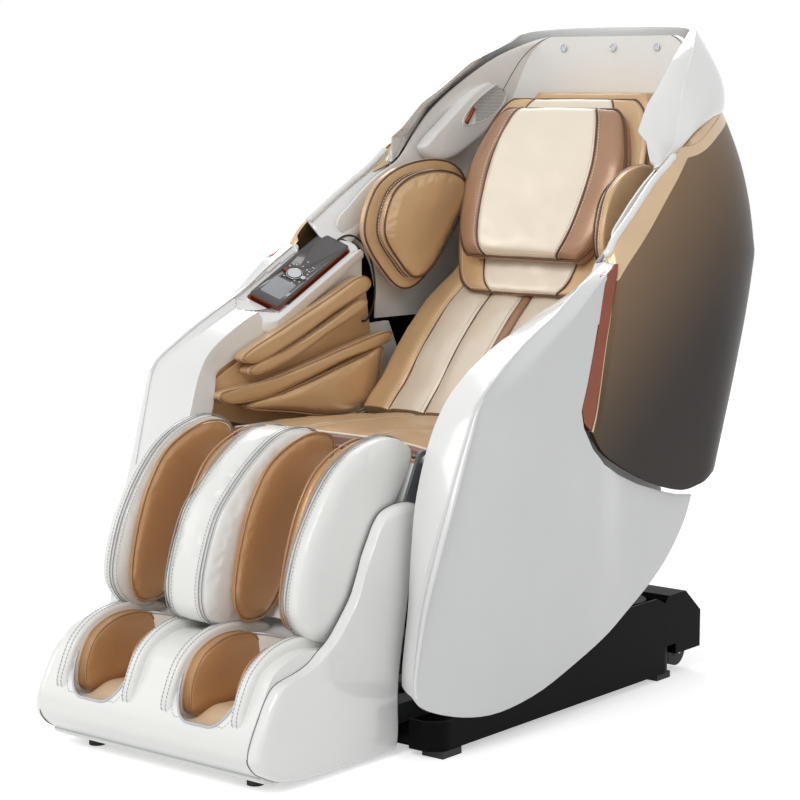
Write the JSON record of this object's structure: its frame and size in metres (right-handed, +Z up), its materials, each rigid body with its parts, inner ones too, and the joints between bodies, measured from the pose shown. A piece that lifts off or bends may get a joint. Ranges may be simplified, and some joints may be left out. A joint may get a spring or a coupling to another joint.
{
  "type": "massage chair",
  "caption": "reclining massage chair with a tilting seat, reclining hooded backrest, roller carriage, arm channels, lifting calf rest and sliding foot massager with wired remote",
  "frame": {"origin": "middle of the underside of the bounding box, on the floor", "axes": "+X to the sitter's left, -Y to the front, +Z up"},
  "size_m": [0.7798, 1.4, 1.214],
  "materials": {
    "black_plastic": "fine-grained black moulding",
    "steel": "powder-coated steel",
    "rubber": "matt black rubber",
    "graphite_plastic": "dark grey moulding",
    "red_plastic": "glossy rocker",
    "pearl_plastic": "pearl white lacquer",
    "white_plastic": "glossy white lacquer",
    "liner_plastic": "satin pale grey",
    "bronze_plastic": "metallic bronze lacquer",
    "copper_plastic": "metallic copper lacquer",
    "silver_plastic": "metallic silver lacquer",
    "lamp_plastic": "clear lamp lens",
    "tan_leather": "smooth tan synthetic leather with stitched seams",
    "cream_leather": "smooth cream synthetic leather with stitched seams",
    "white_leather": "smooth white synthetic leather with stitched seams",
    "roller_rubber": "firm tan rubber"
  },
  "bodies": {
    "base": {"base_plinth": "black_plastic", "base_frame": "steel", "rear_housing": "black_plastic", "pivot_towers": "black_plastic", "base_pins": "steel", "base_feet": "rubber", "power_panel": "graphite_plastic", "power_supply": "graphite_plastic", "air_pump": "steel", "tilt_motor": "graphite_plastic"},
    "transport_wheels": {"transport_wheels": "rubber"},
    "power_switch": {"power_switch": "red_plastic"},
    "tilt_rod": {"tilt_rod": "steel"},
    "seat": {"seat_frame": "steel", "hinge_pins": "steel", "side_liners": "graphite_plastic", "left_side_panel": "pearl_plastic", "right_side_panel": "pearl_plastic", "arm_covers": "white_plastic", "accent_strips": "copper_plastic", "seat_cushion": "tan_leather", "arm_airbags": "tan_leather", "arm_channel_pads": "tan_leather", "seat_actuators": "graphite_plastic", "remote_dock": "copper_plastic", "remote_cord": "rubber"},
    "legrest_rod": {"legrest_rod": "steel"},
    "recline_rod": {"recline_rod": "steel"},
    "backrest": {"back_frame": "steel", "left_back_panel": "bronze_plastic", "right_back_panel": "bronze_plastic", "rear_cover": "bronze_plastic", "hood": "white_plastic", "hood_liner": "liner_plastic", "speaker_pods": "white_plastic", "hood_lights": "lamp_plastic", "back_cushion": "tan_leather", "head_flap": "cream_leather", "head_pillow": "cream_leather", "top_cushion": "tan_leather", "shoulder_pads": "tan_leather"},
    "carriage": {"carriage_frame": "graphite_plastic", "carriage_motor": "black_plastic"},
    "massage_arms": {"massage_arms": "graphite_plastic"},
    "upper_rollers": {"upper_rollers": "roller_rubber"},
    "lower_rollers": {"lower_rollers": "roller_rubber"},
    "legrest": {"leg_frame": "steel", "calf_shell": "white_plastic", "calf_pads": "white_leather", "calf_airbags": "tan_leather"},
    "foot_unit": {"foot_shell": "white_plastic", "foot_side_covers": "white_plastic", "foot_rods": "steel", "foot_cushions": "tan_leather", "rubber_feet": "rubber"},
    "foot_rollers": {"foot_rollers": "graphite_plastic"},
    "remote": {"remote_body": "graphite_plastic"},
    "nav_button": {"nav_button": "silver_plastic"},
    "power_key": {"power_key": "copper_plastic"},
    "pause_key": {"pause_key": "silver_plastic"}
  },
  "joints": [
    {"name": "wheel_roll", "type": "hinge", "parent": "base", "child": "transport_wheels", "pos_m": [0, 0.425, 0.036], "axis": [-1, 0, 0], "continuous": true},
    {"name": "switch_rock", "type": "hinge", "parent": "base", "child": "power_switch", "pos_m": [-0.15, 0.458, 0.077], "axis": [1, 0, 0], "range_deg": [0, 8]},
    {"name": "tilt_drive", "type": "slide", "parent": "base", "child": "tilt_rod", "axis": [0, 0.6124, 0.7905], "range_m": [0, 0.0896]},
    {"name": "zero_gravity_tilt", "type": "hinge", "parent": "base", "child": "seat", "pos_m": [0, 0.265, 0.128], "axis": [-1, 0, 0], "range_deg": [0, 15]},
    {"name": "legrest_drive", "type": "slide", "parent": "seat", "child": "legrest_rod", "axis": [0, -1, 0], "range_m": [0, 0.1125]},
    {"name": "recline_drive", "type": "slide", "parent": "seat", "child": "recline_rod", "axis": [0, -1, 0], "range_m": [0, 0.05]},
    {"name": "recline", "type": "hinge", "parent": "seat", "child": "backrest", "pos_m": [0, 0.125, 0.42], "axis": [-1, 0, 0], "range_deg": [0, 25]},
    {"name": "legrest_lift", "type": "hinge", "parent": "seat", "child": "legrest", "pos_m": [0, -0.262, 0.478], "axis": [-1, 0, 0], "range_deg": [0, 50]},
    {"name": "foot_extension", "type": "slide", "parent": "legrest", "child": "foot_unit", "axis": [0, -0.5879, -0.8089], "range_m": [0, 0.1]},
    {"name": "foot_roller_spin", "type": "hinge", "parent": "foot_unit", "child": "foot_rollers", "pos_m": [0, -0.58, 0.046], "axis": [-1, 0, 0], "continuous": true},
    {"name": "carriage_travel", "type": "slide", "parent": "backrest", "child": "carriage", "axis": [0, 0.4381, 0.8989], "range_m": [0, 0.26]},
    {"name": "knead", "type": "hinge", "parent": "carriage", "child": "massage_arms", "pos_m": [0, 0.43707, 0.64068], "axis": [-1, 0, 0], "range_deg": [-6, 8]},
    {"name": "upper_roller_spin", "type": "hinge", "parent": "massage_arms", "child": "upper_rollers", "pos_m": [0, 0.44012, 0.69259], "axis": [-1, 0, 0], "continuous": true},
    {"name": "lower_roller_spin", "type": "hinge", "parent": "massage_arms", "child": "lower_rollers", "pos_m": [0, 0.39806, 0.60629], "axis": [-1, 0, 0], "continuous": true},
    {"name": "remote_lift", "type": "slide", "parent": "seat", "child": "remote", "axis": [0.4179, -0.4068, 0.8123], "range_m": [0, 0.06]},
    {"name": "nav_press", "type": "slide", "parent": "remote", "child": "nav_button", "axis": [-0.4179, 0.4068, -0.8123], "range_m": [0, 0.0012], "stiffness_N_per_m": 800, "springref_m": -0.0005},
    {"name": "power_press", "type": "slide", "parent": "remote", "child": "power_key", "axis": [-0.4179, 0.4068, -0.8123], "range_m": [0, 0.001], "stiffness_N_per_m": 600, "springref_m": -0.0005},
    {"name": "pause_press", "type": "slide", "parent": "remote", "child": "pause_key", "axis": [-0.4179, 0.4068, -0.8123], "range_m": [0, 0.001], "stiffness_N_per_m": 600, "springref_m": -0.0005}
  ],
  "couplings": [
    {"joint": "tilt_drive", "follows": "zero_gravity_tilt", "m_per_rad": 0.3415},
    {"joint": "recline_drive", "follows": "recline", "m_per_rad": 0.1118},
    {"joint": "legrest_drive", "follows": "legrest_lift", "m_per_rad": 0.1283}
  ]
}
